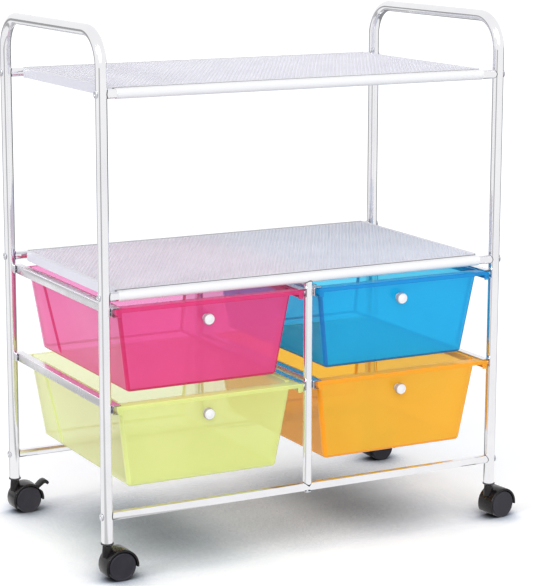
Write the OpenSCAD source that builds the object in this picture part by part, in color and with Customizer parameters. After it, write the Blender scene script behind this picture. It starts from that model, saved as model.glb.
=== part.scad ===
// Rolling storage cart with two open shelves and four drawers in two columns.
// The left is at -X, the front with the knobs is at -Y and the wheels stand on z = 0.

/* [Tube frame] */
// Distance between the left and right posts, centre to centre
span_x = 624; // [580:1:680]
// Distance between the front and rear posts, centre to centre
span_y = 350; // [340:1:400]
// Outer diameter of the bent side tubes
post_d = 16; // [14.5:0.5:19]
// Wall of the bent side tubes
post_wall = 1.2; // [0.8:0.1:1.8]
// Outer diameter of the cross tubes and of the centre posts
tube_d = 12.7; // [11.5:0.1:14]
// Wall of the cross tubes and of the centre posts
tube_wall = 1; // [0.8:0.1:1.4]
// Centre-line radius of the bends beside the handle bars
bend_r = 48; // [35:1:60]

/* [Heights] */
// Height of the open lower ends of the posts above the floor
foot_z = 54; // [53:0.5:60]
// Rise from the post ends to the centres of the bottom cross tubes
bottom_rise = 37; // [30:1:50]
// Rise from the bottom to the middle cross tubes
middle_rise = 304.5; // [298:0.5:340]
// Rise from the middle to the top cross tubes
top_rise = 272; // [200:1:320]
// Rise from the top cross tubes to the centres of the handle bars
bar_rise = 81.5; // [70:0.5:110]

/* [Shelves] */
// Thickness of the shelf sheet
sheet_t = 0.8; // [0.6:0.1:1.2]
// Bare length of cross tube left between a post and the end of a shelf
shelf_inset = 12; // [8:1:25]
// Depth of the down-turned ends of a shelf
shelf_flange = 13.5; // [9:0.5:18]
// Angle by which a shelf's hem goes round its tube, from the top outwards
hem_angle = 210; // [150:5:240]
// Plain border between a shelf's openings and its ends or its tubes' centre lines
grid_border = 16; // [12:1:40]
// Width of the bars between a shelf's openings
grid_bar = 17; // [8:1:24]
// Number of openings along a shelf
grid_long = 12; // [4:1:12]
// Number of openings across a shelf
grid_wide = 7; // [3:1:9]

/* [Runners] */
// Thickness of the channel sheet
runner_t = 1; // [0.8:0.1:1.4]
// Outer height of a channel
runner_h = 12.6; // [11:0.2:15]
// Width of a channel's flanges, its back included
runner_w = 12; // [11:0.5:13]
// Reach of a channel past the post centres, front and rear
runner_over = 7.7; // [6:0.1:9]
// Drop from the centre of the middle cross tubes to the top of the upper channels
runner_drop = 14.3; // [12:0.1:20]
// Distance between the upper and the lower channels
level_pitch = 134.3; // [130:0.1:150]

/* [Drawers] */
// Overall length of a drawer's rim, front to rear
drawer_len = 352; // [300:1:360]
// Height of a drawer from its rim to its base
drawer_h = 124; // [90:1:126]
// Wall of a drawer
drawer_wall = 2; // [1.5:0.1:2.6]
// Width of the side rims, outside the walls
side_rim = 9; // [8:0.5:14]
// Width of the front rim, in front of the front wall
front_rim = 17.5; // [12:0.5:20]
// Width of the rear rim, behind the rear wall
rear_rim = 4; // [2.5:0.5:10]
// Thickness of the rims and of their lips
rim_t = 2; // [1.6:0.1:2.4]
// Height of the lip along the front rim
front_lip = 5.5; // [4:0.5:8]
// Height of the ears at the ends of the front lip
ear_h = 12.5; // [11:0.5:15]
// Play between a rim and the back of its channel
rim_play = 4.5; // [3:0.1:5]
// Amount by which each side wall leans in at the base
side_taper = 19; // [6:1:22]
// Amount by which the front wall leans in at the base
front_taper = 12; // [6:0.5:20]
// Amount by which the rear wall leans in at the base
rear_taper = 8.5; // [4:0.5:14]
// Radius of a drawer's upright corners
corner_r = 4; // [3:0.5:12]
// Length of the narrower rear part of a drawer, at its rim
step_len = 53; // [30:1:70]
// Amount by which the rear part is narrower on each side, and shallower
step_in = 2; // [1:0.5:5]
// Amount by which the step leans forwards at the base
step_lean = 29; // [10:1:40]

/* [Knobs] */
// Diameter of a knob
knob_d = 17; // [14:0.5:24]
// Depth of a knob
knob_depth = 14; // [12:0.5:20]
// Diameter of a knob's neck
knob_neck_d = 10; // [9:0.5:12]
// Drop from a drawer's rim to the centre of its knob
knob_drop = 28; // [20:1:60]
// Diameter of a knob's screw
knob_screw_d = 4; // [3:0.5:5]

/* [Casters] */
// Diameter of the wheels
wheel_d = 40; // [36:0.5:42]
// Width of one of a caster's two wheels
wheel_w = 11.3; // [9:0.1:14]
// Overall width of a caster
caster_w = 30; // [29:0.5:38]
// Distance from the swivel axis to the axle
caster_trail = 17; // [14:0.5:20]
// Thickness of the hood's shell
hood_t = 3.2; // [2.8:0.1:4]
// Gap between a wheel's tread and the hood
hood_gap = 1.3; // [1:0.1:2.5]
// Diameter of the axle
axle_d = 5; // [4:0.5:6]
// Diameter of the swivel stem
stem_d = 8; // [6:0.5:9]
// Diameter of the neck that holds the stem
neck_d = 13; // [12:0.5:16]
// Diameter of the flange of the stem's socket
socket_d = 18; // [17:0.5:21]
// Width of a brake lever
lever_w = 13; // [10:0.5:15]
// Angle by which the front right caster is turned from the others
front_right_turn = 7; // [0:1:30]

/* [Fasteners] */
// Diameter of the frame screws
screw_d = 5; // [4:0.5:6]
// Diameter of the frame screws' heads
screw_head_d = 11; // [9:0.5:13]
// Height of the frame screws' heads
screw_head_h = 2.2; // [1.6:0.1:3]
// Diameter of the runner screws and bolts
runner_screw_d = 3.5; // [3:0.5:4]
// Diameter of the heads and nuts inside the channels
runner_head_d = 7; // [6:0.5:8]
// Height of the heads and nuts inside the channels
runner_head_h = 2; // [1.4:0.1:2.4]
// Length of a tube end's plug inside its tube
plug_len = 18; // [12:1:30]
// Thickness of a plug's saddle between tube and post
saddle_t = 0.8; // [0.5:0.1:1.5]

/* [Fits] */
// Gap round pieces that are pushed, screwed or laid together
fit_gap = 0.05; // [0.02:0.01:0.1]
// Radial gap round a turning shaft
run_gap = 0.05; // [0.03:0.01:0.1]
// Gap at faces that slide past or stop against each other
slide_gap = 0.3; // [0.2:0.05:0.5]

/* [Hidden] */
$fn = 64;

// Small length by which a cutting shape passes the face that it cuts
cut = 1;
left = -1;
right = 1;
front = -1;
rear = 1;
post_x = span_x / 2;
post_y = span_y / 2;
bottom_z = foot_z + bottom_rise;
middle_z = bottom_z + middle_rise;
top_z = middle_z + top_rise;
bar_z = top_z + bar_rise;
cross_heights = [bottom_z, middle_z, top_z];
post_bore = post_d - 2 * post_wall;
tube_bore = tube_d - 2 * tube_wall;

// Shelf section round a tube
hem_r_in = tube_d / 2 + fit_gap;
hem_r_out = hem_r_in + sheet_t;
shelf_len = span_x - post_d - 2 * shelf_inset;
spigot_d = 6;

// Coarse grid of square openings, as open as the sheet's fine perforation
grid_pitch_x = (shelf_len - 2 * grid_border + grid_bar) / grid_long;
grid_pitch_y = (span_y - 2 * grid_border + grid_bar) / grid_wide;

// Channels: the backs of the outer ones lie on the posts, those of the inner ones on the centre posts
side_back_x = post_x - post_d / 2 - fit_gap;
centre_back_x = tube_d / 2 + fit_gap;
runner_reach = post_y + runner_over;
upper_runner_z = middle_z - runner_drop;
lower_runner_z = upper_runner_z - level_pitch;
level_heights = [upper_runner_z, lower_runner_z];
column_x = (side_back_x + centre_back_x) / 2;
column_half = (side_back_x - centre_back_x) / 2;

// Drawers: depths are counted down from the top of the rim
rim_top_gap = 0.6;
rim_half = column_half - runner_t - rim_play;
rim_front_y = -(runner_reach + slide_gap + rim_t);
rim_rear_y = rim_front_y + drawer_len;
wall_half = rim_half - side_rim;
lip_h = runner_h - 2 * runner_t - rim_top_gap - slide_gap;
knob_lean = atan(front_taper / drawer_h);
knob_screw_head_d = 2 * knob_screw_d;
knob_screw_head_h = 2.2;
knob_bore = knob_depth - 4;
function rim_z(runner_z) = runner_z - runner_t - rim_top_gap;
function side_at(depth) = wall_half - side_taper * depth / drawer_h;
function front_at(depth) = rim_front_y + front_rim + front_taper * depth / drawer_h;
function rear_at(depth) = rim_rear_y - rear_rim - rear_taper * depth / drawer_h;
function step_at(depth) = rim_rear_y - rear_rim - step_len - step_lean * depth / drawer_h;

// Casters
wheel_r = wheel_d / 2;
hood_r_in = wheel_r + hood_gap;
hood_r = hood_r_in + hood_t;
hood_start = -6;
hood_end = 210;
web_half = caster_w / 2 - wheel_w - 1.2;
wheel_inner_y = caster_w / 2 - wheel_w - 0.5;
wheel_bore_depth = wheel_w - 2.2;
axle_half = wheel_inner_y + wheel_bore_depth - slide_gap;
socket_flange = 2;
socket_len = 32;
stem_show = 2;
neck_top = foot_z - socket_flange - stem_show;
stem_seat = 11;
stem_top = foot_z + socket_len - 4;
groove_len = 5;
groove_z = foot_z + 20;
lever_angle = 40;
lever_r = hood_r_in + hood_t / 2;
lever_pin_d = 1.6;
lever_barrel_d = hood_t + 0.8;
lever_slot = 9;
lever_tip = [6.4, 17.8];
lever_reach = (lever_r + lever_tip[1]) * cos(lever_angle) + lever_tip[0] * sin(lever_angle);

// Middle of the whole cart between its outermost points, from the middle between its posts
box_mid_x = (caster_trail + lever_reach - post_d / 2 - fit_gap - screw_head_h) / 2;
turned_half_w = caster_w / 2 * cos(front_right_turn) + (hood_r - caster_trail) * sin(front_right_turn);
box_mid_y = (caster_w / 2 - turned_half_w) / 2;

module along_x(d, length) {
    rotate([0, 90, 0])
        cylinder(h = length, d = d, center = true);
}

module hoop_run(d, extra) {
    for (side = [front, rear]) {
        translate([0, side * post_y, foot_z - extra])
            cylinder(h = bar_z - bend_r - foot_z + extra, d = d);
    }
    for (mirrored = [0, 1]) {
        mirror([0, mirrored, 0])
            translate([0, post_y - bend_r, bar_z - bend_r])
            rotate([90, 0, 90])
            rotate_extrude(angle = 90)
            translate([bend_r, 0])
            circle(d = d);
    }
    translate([0, 0, bar_z])
        rotate([90, 0, 0])
        cylinder(h = span_y - 2 * bend_r, d = d, center = true);
}

module side_hoop(side) {
    color("gainsboro")
    translate([side * post_x, 0, 0])
    difference() {
        hoop_run(post_d, 0);
        hoop_run(post_bore, cut);
        for (end = [front, rear], z = cross_heights) {
            translate([0, end * post_y, z])
                along_x(screw_d + 2 * fit_gap, post_d + 2 * cut);
        }
        for (end = [front, rear], z = level_heights) {
            translate([-side * post_d / 2, end * post_y, z - runner_h / 2])
                along_x(runner_screw_d + 2 * fit_gap, post_d / 2);
        }
    }
}

// Space that the two posts at one side and their saddles take out of a cross tube
module post_envelope(end, d) {
    for (side = [left, right]) {
        translate([side * post_x, end * post_y, bottom_z - tube_d])
            cylinder(h = top_z - bottom_z + 2 * tube_d, d = d);
    }
}

module cross_tube(end, z) {
    color("gainsboro")
    difference() {
        translate([0, end * post_y, z])
            along_x(tube_d, span_x);
        translate([0, end * post_y, z])
            along_x(tube_bore, span_x + 2 * cut);
        post_envelope(end, post_d + 2 * saddle_t + 4 * fit_gap);
        if (z == bottom_z) {
            translate([0, end * post_y, z])
                cylinder(h = tube_d + 2 * cut, d = screw_d + 2 * fit_gap, center = true);
        }
        if (z == middle_z) {
            translate([0, end * post_y, z - tube_d])
                cylinder(h = tube_d, d = spigot_d + 2 * fit_gap);
        }
    }
}

// Plug of a tube end that points along +Z and meets a round bar lying along Y at the origin
module saddle_plug(bar_d, bore_len) {
    seat = bar_d / 2 + saddle_t + fit_gap;
    difference() {
        union() {
            translate([0, 0, -seat - plug_len])
                cylinder(h = seat + plug_len, d = tube_bore - 2 * fit_gap);
            intersection() {
                translate([0, 0, -seat])
                    cylinder(h = seat, d = tube_d);
                rotate([90, 0, 0])
                    cylinder(h = 2 * tube_d, d = 2 * seat, center = true);
            }
        }
        rotate([90, 0, 0])
            cylinder(h = 2 * tube_d, d = bar_d + 2 * fit_gap, center = true);
        translate([0, 0, -seat - bore_len])
            cylinder(h = seat + bore_len, d = screw_d + 2 * fit_gap);
    }
}

module tube_end_plugs() {
    color("dimgray")
    for (side = [left, right], end = [front, rear], z = cross_heights) {
        translate([side * post_x, end * post_y, z])
            rotate([0, 0, side == left ? 180 : 0])
            rotate([0, 90, 0])
            rotate([0, 0, 90])
            saddle_plug(post_d, plug_len - 3);
    }
}

// Screw along +Z with its head's underside at the origin and its shank below
module headed_screw(d, length, head_d, head_h) {
    translate([0, 0, -length])
        cylinder(h = length, d = d);
    cylinder(h = head_h / 2, d = head_d);
    translate([0, 0, head_h / 2])
        cylinder(h = head_h / 2, d1 = head_d, d2 = 0.6 * head_d);
}

module frame_screws() {
    color("lightgray")
    for (side = [left, right], end = [front, rear], z = cross_heights) {
        translate([side * (post_x + post_d / 2 + fit_gap), end * post_y, z])
            rotate([0, side * 90, 0])
            headed_screw(screw_d, post_d + plug_len - 6, screw_head_d, screw_head_h);
    }
}

// Section of a shelf, with y across the cart and z up, level with the tube centres
module shelf_section() {
    translate([-post_y, hem_r_in])
        square([span_y, sheet_t]);
    for (mirrored = [0, 1]) {
        mirror([mirrored, 0])
        translate([-post_y, 0])
        difference() {
            circle(r = hem_r_out);
            circle(r = hem_r_in);
            polygon([
                [0, 0], [0, 2 * tube_d], [2 * tube_d, 2 * tube_d], [2 * tube_d, -2 * tube_d],
                2 * tube_d * [cos(90 + hem_angle), sin(90 + hem_angle)]
            ]);
        }
    }
}

// Openings of a shelf, through the sheet alone
module shelf_grid() {
    for (i = [0 : grid_long - 1], j = [0 : grid_wide - 1]) {
        translate([(i - (grid_long - 1) / 2) * grid_pitch_x, (j - (grid_wide - 1) / 2) * grid_pitch_y, hem_r_in + sheet_t / 2])
            cube([grid_pitch_x - grid_bar, grid_pitch_y - grid_bar, sheet_t + 2 * cut], center = true);
    }
}

module shelf(z, has_spigot_holes) {
    color("whitesmoke")
    translate([0, 0, z])
    difference() {
        union() {
            rotate([90, 0, 90])
                linear_extrude(shelf_len, center = true)
                shelf_section();
            for (side = [left, right]) {
                translate([side * (shelf_len - sheet_t) / 2, 0, hem_r_out - shelf_flange / 2])
                    cube([sheet_t, span_y - 2 * hem_r_out - 2, shelf_flange], center = true);
            }
        }
        shelf_grid();
        if (has_spigot_holes) {
            for (end = [front, rear]) {
                translate([0, end * post_y, -2 * hem_r_out])
                    cylinder(h = 2 * hem_r_out, d = spigot_d + 2 * fit_gap);
            }
        }
    }
}

module centre_post(end) {
    color("gainsboro")
    difference() {
        translate([0, end * post_y, bottom_z])
            cylinder(h = middle_rise, d = tube_d);
        translate([0, end * post_y, bottom_z])
            cylinder(h = middle_rise, d = tube_bore);
        translate([0, end * post_y, bottom_z])
            along_x(tube_d + 2 * saddle_t + 4 * fit_gap, 2 * tube_d);
        translate([0, end * post_y, middle_z])
            along_x(2 * (hem_r_out + saddle_t + 2 * fit_gap), 2 * tube_d);
        for (z = level_heights) {
            translate([0, end * post_y, z - runner_h / 2])
                along_x(runner_screw_d + 2 * fit_gap, 2 * tube_d);
        }
    }
}

// Plugs of the centre posts: the upper runners' bolts lock the top ones, whose spigots enter the tubes above
module centre_post_plugs() {
    color("dimgray")
    for (end = [front, rear]) {
        translate([0, end * post_y, bottom_z])
            rotate([180, 0, 90])
            saddle_plug(tube_d, plug_len - 3);
        difference() {
            union() {
                translate([0, end * post_y, middle_z])
                    rotate([0, 0, 90])
                    saddle_plug(2 * hem_r_out, 0);
                translate([0, end * post_y, middle_z - hem_r_out - plug_len / 2])
                    cylinder(h = plug_len / 2 + hem_r_out - tube_bore / 2 + 2, d = spigot_d);
            }
            translate([0, end * post_y, upper_runner_z - runner_h / 2])
                along_x(runner_screw_d + 2 * fit_gap, 2 * tube_d);
        }
    }
}

module centre_post_screws() {
    color("lightgray")
    for (end = [front, rear]) {
        translate([0, end * post_y, bottom_z - tube_d / 2 - fit_gap])
            rotate([180, 0, 0])
            headed_screw(screw_d, tube_d + plug_len - 6, screw_head_d, screw_head_h);
    }
}

// Channel whose back lies at x = back_x and whose open side points along X to the side given
module runner(back_x, open_to, z_top) {
    color("whitesmoke")
    translate([back_x, 0, z_top])
    difference() {
        translate([min(0, open_to * runner_w), -runner_reach, -runner_h])
            cube([runner_w, 2 * runner_reach, runner_h]);
        translate([open_to * (runner_w / 2 + runner_t), 0, -runner_h / 2])
            cube([runner_w, 2 * runner_reach + 2 * cut, runner_h - 2 * runner_t], center = true);
        for (end = [front, rear]) {
            translate([0, end * post_y, -runner_h / 2])
                along_x(runner_screw_d + 2 * fit_gap, 4 * runner_t);
        }
    }
}

// Screws from inside the outer channels into the posts
module runner_screws() {
    color("lightgray")
    for (side = [left, right], end = [front, rear], z = level_heights) {
        translate([side * (side_back_x - runner_t - fit_gap), end * post_y, z - runner_h / 2])
            rotate([0, -side * 90, 0])
            headed_screw(runner_screw_d, runner_t + post_wall + 4, runner_head_d, runner_head_h);
    }
}

// Bolts through both inner channels and the centre post between them, each with its nut
module centre_runner_bolts() {
    grip = centre_back_x + runner_t + fit_gap;
    nut_bore_end = grip + runner_head_h;
    color("lightgray")
    for (end = [front, rear], z = level_heights) {
        translate([-grip, end * post_y, z - runner_h / 2])
            rotate([0, -90, 0])
            headed_screw(runner_screw_d, grip + nut_bore_end, runner_head_d, runner_head_h);
        translate([grip, end * post_y, z - runner_h / 2])
            rotate([0, 90, 0])
            difference() {
                cylinder(h = runner_head_h, d = runner_head_d, $fn = 6);
                translate([0, 0, -cut])
                    cylinder(h = runner_head_h + 2 * cut, d = runner_screw_d + 2 * fit_gap);
            }
    }
}

// Upright corner posts of a tapered tub between two depths, inset from the drawer's outer faces
module tub_front(inset, base_depth, top_depth) {
    r = corner_r - inset;
    hull() {
        for (depth = [base_depth, top_depth], side = [left, right]) {
            translate([side * (side_at(depth) - corner_r), front_at(depth) + corner_r, -depth])
                cylinder(h = 0.01, r = r, $fn = 32);
            translate([side * (side_at(depth) - corner_r), step_at(depth) - inset - r, -depth])
                cylinder(h = 0.01, r = r, $fn = 32);
        }
    }
}

module tub_rear(inset, base_depth, top_depth) {
    r = corner_r - inset;
    hull() {
        for (depth = [base_depth, top_depth], side = [left, right]) {
            translate([side * (side_at(depth) - step_in - corner_r), rear_at(depth) - corner_r, -depth])
                cylinder(h = 0.01, r = r, $fn = 32);
            translate([side * (side_at(depth) - step_in - corner_r), step_at(depth) - 2 * corner_r, -depth])
                cylinder(h = 0.01, r = r, $fn = 32);
        }
    }
}

// One drawer with the top of its rim at z = 0, in its column's middle
module drawer_shape() {
    difference() {
        union() {
            tub_front(0, drawer_h, rim_t);
            tub_rear(0, drawer_h - step_in, rim_t);
            translate([-rim_half, rim_front_y, -rim_t])
                cube([2 * rim_half, drawer_len, rim_t]);
            translate([-rim_half, rim_front_y, -front_lip])
                cube([2 * rim_half, rim_t, front_lip]);
            for (side = [left, right]) {
                translate([side * (rim_half - rim_t / 2), rim_front_y + drawer_len / 2, -lip_h / 2])
                    cube([rim_t, drawer_len, lip_h], center = true);
                translate([side * (rim_half + wall_half) / 2, rim_front_y + rim_t / 2, -ear_h / 2])
                    cube([side_rim, rim_t, ear_h], center = true);
            }
        }
        tub_front(drawer_wall, drawer_h - drawer_wall, -cut);
        tub_rear(drawer_wall, drawer_h - step_in - drawer_wall, -cut);
        knob_place()
            translate([0, 0, -3 * drawer_wall])
            cylinder(h = 6 * drawer_wall, d = knob_screw_d + 2 * run_gap);
    }
}

module knob_place() {
    translate([0, front_at(knob_drop), -knob_drop])
        rotate([90 + knob_lean, 0, 0])
        children();
}

module in_column(side, runner_z) {
    translate([side * column_x, 0, rim_z(runner_z)])
        children();
}

module drawer(side, runner_z, tint) {
    color(tint, 0.8)
    in_column(side, runner_z)
        drawer_shape();
}

module knob(side, runner_z) {
    head = knob_d / 2;
    neck = knob_neck_d / 2;
    color("white")
    in_column(side, runner_z)
    knob_place()
    translate([0, 0, fit_gap])
    difference() {
        rotate_extrude()
            polygon([
                [0, 0], [neck + 0.7, 0], [neck, 1.5], [neck, 4], [head - 1, 5.2], [head, 6.6],
                [head, knob_depth - 4], [head - 1, knob_depth - 2], [head - 3.2, knob_depth - 0.7],
                [0, knob_depth]
            ]);
        translate([0, 0, -cut])
            cylinder(h = knob_bore + cut, d = knob_screw_d + 2 * fit_gap);
    }
}

module knob_screw(side, runner_z) {
    inner = drawer_wall * cos(knob_lean) + 3 * fit_gap;
    color("lightgray")
    in_column(side, runner_z)
    knob_place()
    translate([0, 0, -inner])
    rotate([180, 0, 0])
    headed_screw(knob_screw_d, inner + knob_bore - 1, knob_screw_head_d, knob_screw_head_h);
}

module at_each_foot() {
    for (side = [left, right], end = [front, rear]) {
        translate([side * post_x, end * post_y, 0])
            children();
    }
}

module caster_sockets() {
    color("black")
    at_each_foot()
    difference() {
        union() {
            translate([0, 0, foot_z - socket_flange])
                cylinder(h = socket_flange - fit_gap, d = socket_d);
            translate([0, 0, foot_z - socket_flange])
                cylinder(h = socket_len + socket_flange, d = post_bore - 2 * fit_gap);
        }
        translate([0, 0, foot_z - socket_flange - cut])
            cylinder(h = socket_len + 2 * cut, d = stem_d + 2 * fit_gap);
    }
}

module caster_stems() {
    color("silver")
    at_each_foot()
    difference() {
        translate([0, 0, neck_top - stem_seat])
            cylinder(h = stem_top - neck_top + stem_seat, d = stem_d);
        translate([0, 0, groove_z])
        difference() {
            cylinder(h = groove_len, d = stem_d + cut);
            cylinder(h = groove_len, d = stem_d - 2);
        }
    }
}

module stem_grip_rings() {
    color("dimgray")
    at_each_foot()
    translate([0, 0, groove_z + fit_gap])
    difference() {
        cylinder(h = groove_len - 2 * fit_gap, d = stem_d);
        translate([0, 0, -cut])
            cylinder(h = groove_len + 2 * cut, d = stem_d - 2 + 2 * fit_gap);
        translate([0, -0.5, -cut])
            cube([stem_d, 1, groove_len + 2 * cut]);
    }
}

// A caster's own frame has its origin on the floor under the swivel axis and trails along +X
module at_foot(side, end) {
    translate([side * post_x, end * post_y, 0])
        rotate([0, 0, side == right && end == front ? front_right_turn : 0])
        children();
}

module at_axle() {
    translate([caster_trail, 0, wheel_r])
        rotate([90, 0, 0])
        children();
}

// Flat wedge between two angles that takes in everything within the radius
module sector(from, to, radius) {
    steps = 8;
    reach = radius / cos((to - from) / steps / 2);
    polygon(concat(
        [[0, 0]],
        [for (i = [0 : steps]) reach * [cos(from + (to - from) * i / steps), sin(from + (to - from) * i / steps)]]
    ));
}

module hood(side, end) {
    braked = end == rear;
    color("black")
    at_foot(side, end)
    difference() {
        union() {
            at_axle()
                linear_extrude(caster_w, center = true)
                difference() {
                    intersection() {
                        circle(r = hood_r);
                        sector(hood_start, hood_end, hood_r + cut);
                    }
                    circle(r = hood_r_in);
                }
            at_axle()
                linear_extrude(2 * web_half, center = true)
                intersection() {
                    circle(r = hood_r_in + hood_t / 2);
                    union() {
                        circle(r = axle_d);
                        sector(hood_start, hood_end, hood_r);
                    }
                }
            difference() {
                translate([0, 0, wheel_r])
                    cylinder(h = neck_top - wheel_r, d = neck_d);
                at_axle()
                    cylinder(h = caster_w, r = hood_r_in, center = true);
            }
        }
        translate([0, 0, neck_top - stem_seat - slide_gap])
            cylinder(h = stem_seat + slide_gap + cut, d = stem_d + 2 * run_gap);
        at_axle()
            cylinder(h = caster_w, d = axle_d + 2 * fit_gap, center = true);
        if (braked) {
            lever_place() {
                cube([lever_slot, hood_t * 3, lever_w + 2 * slide_gap], center = true);
                cylinder(h = lever_w + 6, d = lever_pin_d + 2 * fit_gap, center = true);
            }
        }
    }
}

// Places at the brake lever's pin, with x along the hood's skin, y out of it and z along the pin
module lever_place() {
    at_axle()
        rotate([0, 0, lever_angle])
        translate([lever_r, 0, 0])
        rotate([0, 0, -90])
        children();
}

module axle(side, end) {
    color("silver")
    at_foot(side, end)
    at_axle()
    cylinder(h = 2 * axle_half, d = axle_d, center = true);
}

// Wheel of a pair: the outer face is plain and slightly dished
module wheel(side, end, half) {
    rim_round = 2;
    color("dimgray")
    at_foot(side, end)
    at_axle()
    mirror([0, 0, half > 0 ? 0 : 1])
    translate([0, 0, wheel_inner_y])
    difference() {
        rotate_extrude()
            polygon([
                [0, 0], [wheel_r - rim_round, 0], [wheel_r - 0.6, 0.6], [wheel_r, rim_round],
                [wheel_r, wheel_w - rim_round], [wheel_r - 0.6, wheel_w - 0.6], [wheel_r - rim_round, wheel_w],
                [wheel_r - rim_round - 0.8, wheel_w - 0.5], [0, wheel_w - 0.5]
            ]);
        translate([0, 0, -cut])
            cylinder(h = wheel_bore_depth + cut, d = axle_d + 2 * run_gap);
    }
}

// Curved pedal that stands out of the hood behind the wheels and turns on its two trunnions
module brake_lever(side) {
    color("black")
    at_foot(side, rear)
    lever_place()
    union() {
        cylinder(h = lever_w, d = lever_barrel_d, center = true);
        cylinder(h = lever_w + 5, d = lever_pin_d, center = true);
        linear_extrude(lever_w, center = true)
            polygon([
                [-1.8, 0.5], [-2.2, 6], [-2, 11], [-0.6, 15.2], [2.6, 17.4], lever_tip,
                [lever_tip[0] + 0.4, lever_tip[1] - 2.6], [3.8, 14.4], [2.4, 12], [1.9, 8], [1.9, 0.5]
            ]);
    }
}

// Puts the cart's middle over the origin
module placed() {
    translate([-box_mid_x, -box_mid_y, 0])
        children();
}

placed() side_hoop(left);  // left_side_hoop
placed() side_hoop(right);  // right_side_hoop
placed() cross_tube(front, top_z);  // top_front_tube
placed() cross_tube(rear, top_z);  // top_rear_tube
placed() cross_tube(front, middle_z);  // middle_front_tube
placed() cross_tube(rear, middle_z);  // middle_rear_tube
placed() cross_tube(front, bottom_z);  // bottom_front_tube
placed() cross_tube(rear, bottom_z);  // bottom_rear_tube
placed() tube_end_plugs();
placed() frame_screws();
placed() shelf(top_z, false);  // top_shelf
placed() shelf(middle_z, true);  // middle_shelf
placed() centre_post(front);  // front_centre_post
placed() centre_post(rear);  // rear_centre_post
placed() centre_post_plugs();
placed() centre_post_screws();
placed() runner(-side_back_x, right, upper_runner_z);  // left_upper_runner
placed() runner(-side_back_x, right, lower_runner_z);  // left_lower_runner
placed() runner(side_back_x, left, upper_runner_z);  // right_upper_runner
placed() runner(side_back_x, left, lower_runner_z);  // right_lower_runner
placed() runner(-centre_back_x, left, upper_runner_z);  // centre_left_upper_runner
placed() runner(-centre_back_x, left, lower_runner_z);  // centre_left_lower_runner
placed() runner(centre_back_x, right, upper_runner_z);  // centre_right_upper_runner
placed() runner(centre_back_x, right, lower_runner_z);  // centre_right_lower_runner
placed() runner_screws();
placed() centre_runner_bolts();
placed() drawer(left, upper_runner_z, "hotpink");  // upper_left_drawer
placed() drawer(left, lower_runner_z, "greenyellow");  // lower_left_drawer
placed() drawer(right, upper_runner_z, "deepskyblue");  // upper_right_drawer
placed() drawer(right, lower_runner_z, "orange");  // lower_right_drawer
placed() knob(left, upper_runner_z);  // upper_left_knob
placed() knob(left, lower_runner_z);  // lower_left_knob
placed() knob(right, upper_runner_z);  // upper_right_knob
placed() knob(right, lower_runner_z);  // lower_right_knob
placed() knob_screw(left, upper_runner_z);  // upper_left_knob_screw
placed() knob_screw(left, lower_runner_z);  // lower_left_knob_screw
placed() knob_screw(right, upper_runner_z);  // upper_right_knob_screw
placed() knob_screw(right, lower_runner_z);  // lower_right_knob_screw
placed() caster_sockets();
placed() caster_stems();
placed() stem_grip_rings();
placed() hood(left, front);  // front_left_hood
placed() hood(right, front);  // front_right_hood
placed() hood(left, rear);  // rear_left_hood
placed() hood(right, rear);  // rear_right_hood
placed() axle(left, front);  // front_left_axle
placed() axle(right, front);  // front_right_axle
placed() axle(left, rear);  // rear_left_axle
placed() axle(right, rear);  // rear_right_axle
placed() wheel(left, front, 1);  // front_left_wheel_a
placed() wheel(left, front, -1);  // front_left_wheel_b
placed() wheel(right, front, 1);  // front_right_wheel_a
placed() wheel(right, front, -1);  // front_right_wheel_b
placed() wheel(left, rear, 1);  // rear_left_wheel_a
placed() wheel(left, rear, -1);  // rear_left_wheel_b
placed() wheel(right, rear, 1);  // rear_right_wheel_a
placed() wheel(right, rear, -1);  // rear_right_wheel_b
placed() brake_lever(left);  // rear_left_brake_lever
placed() brake_lever(right);  // rear_right_brake_lever
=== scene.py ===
import math
import bmesh
import bpy
from mathutils import Matrix, Vector


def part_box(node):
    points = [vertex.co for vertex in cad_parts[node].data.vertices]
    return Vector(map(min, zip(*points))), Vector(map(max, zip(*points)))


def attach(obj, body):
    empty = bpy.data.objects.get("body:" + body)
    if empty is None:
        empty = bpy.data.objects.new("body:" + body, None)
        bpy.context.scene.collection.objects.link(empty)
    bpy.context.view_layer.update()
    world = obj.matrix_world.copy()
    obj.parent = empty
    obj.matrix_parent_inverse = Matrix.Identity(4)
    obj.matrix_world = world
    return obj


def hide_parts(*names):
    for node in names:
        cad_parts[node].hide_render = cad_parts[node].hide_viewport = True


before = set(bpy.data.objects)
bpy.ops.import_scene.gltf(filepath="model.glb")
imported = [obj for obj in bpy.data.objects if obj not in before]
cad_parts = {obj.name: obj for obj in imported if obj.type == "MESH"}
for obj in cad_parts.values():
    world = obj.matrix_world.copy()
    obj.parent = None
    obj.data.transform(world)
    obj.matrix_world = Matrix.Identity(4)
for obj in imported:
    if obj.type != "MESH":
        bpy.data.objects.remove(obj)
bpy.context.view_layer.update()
scene = bpy.context.scene
close, slack, weld = 0.0001, 0.0006, 0.00002  # metres: at a place, on a leaning wall, joined into one vertex
print("frame loaded,", len(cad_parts), "CAD nodes")


# editing helpers

def startFresh():
    if bpy.context.object and bpy.context.object.mode != "OBJECT":
        bpy.ops.object.mode_set(mode="OBJECT")
    bpy.ops.object.select_all(action="DESELECT")


def makeActive(obj):
    startFresh()
    obj.select_set(True)
    bpy.context.view_layer.objects.active = obj


def openMesh(obj):
    makeActive(obj)
    bpy.ops.object.mode_set(mode="EDIT")
    bpy.ops.mesh.select_all(action="DESELECT")


def closeMesh():
    bpy.ops.object.mode_set(mode="OBJECT")


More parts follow.
